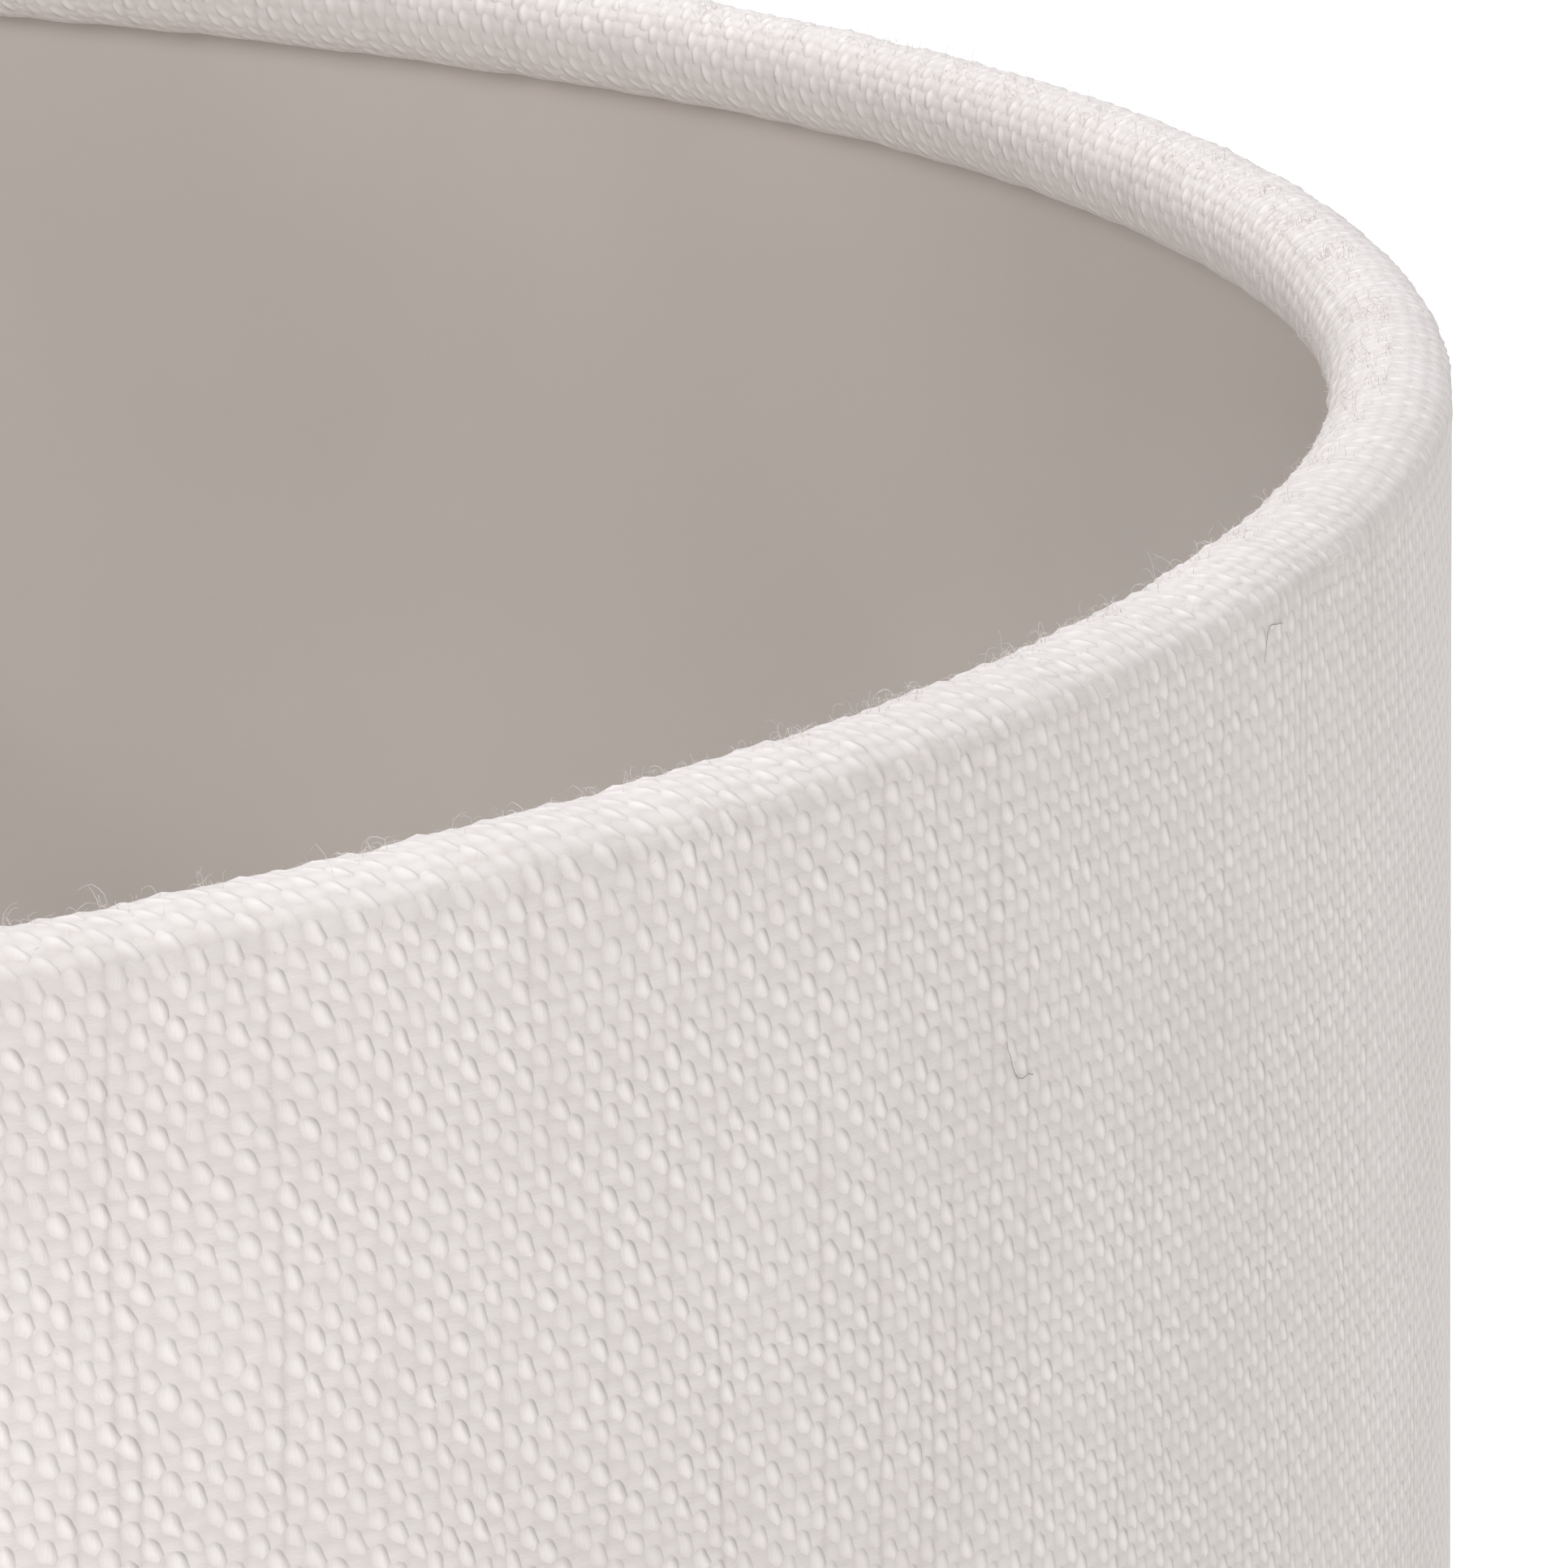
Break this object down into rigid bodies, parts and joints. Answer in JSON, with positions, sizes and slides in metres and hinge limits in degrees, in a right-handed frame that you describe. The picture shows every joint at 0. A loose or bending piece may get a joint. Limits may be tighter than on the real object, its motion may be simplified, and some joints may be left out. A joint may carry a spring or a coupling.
{
  "type": "lamp shade",
  "caption": "Straight drum lamp shade: woven linen-look cover rolled over wire rings, smooth liner, three-armed spider and a lift-out reducer ring.",
  "frame": {"origin": "centre of the drum's axis, on the plane that the bottom roll rests on", "axes": "+Z along the drum's axis from the bottom roll to the top roll, which holds the fitter; +Y towards the back, where the seam lies at 105 degrees from +X"},
  "size_m": [0.2, 0.2, 0.16],
  "materials": {
    "linen": "off-white plain weave with slubs, matt",
    "liner": "smooth white self-adhesive sheet, satin",
    "tape": "clear double-sided tape",
    "enamelled_wire": "white enamelled steel",
    "moulded_plastic": "white moulded plastic, satin"
  },
  "bodies": {
    "shade": {"fabric_cover": "linen", "liner_sheet": "liner", "liner_seam_tape": "tape", "top_ring": "enamelled_wire", "bottom_ring": "enamelled_wire", "top_ring_tape": "tape", "bottom_ring_tape": "tape", "spider_arm_1": "enamelled_wire", "spider_arm_2": "enamelled_wire", "spider_arm_3": "enamelled_wire", "fitter_ring": "enamelled_wire"},
    "reducer": {"reducer_ring": "moulded_plastic"}
  },
  "joints": [
    {"name": "reducer_lift", "type": "slide", "parent": "shade", "child": "reducer", "axis": [0, 0, 1], "range_m": [0, 0.045]}
  ]
}
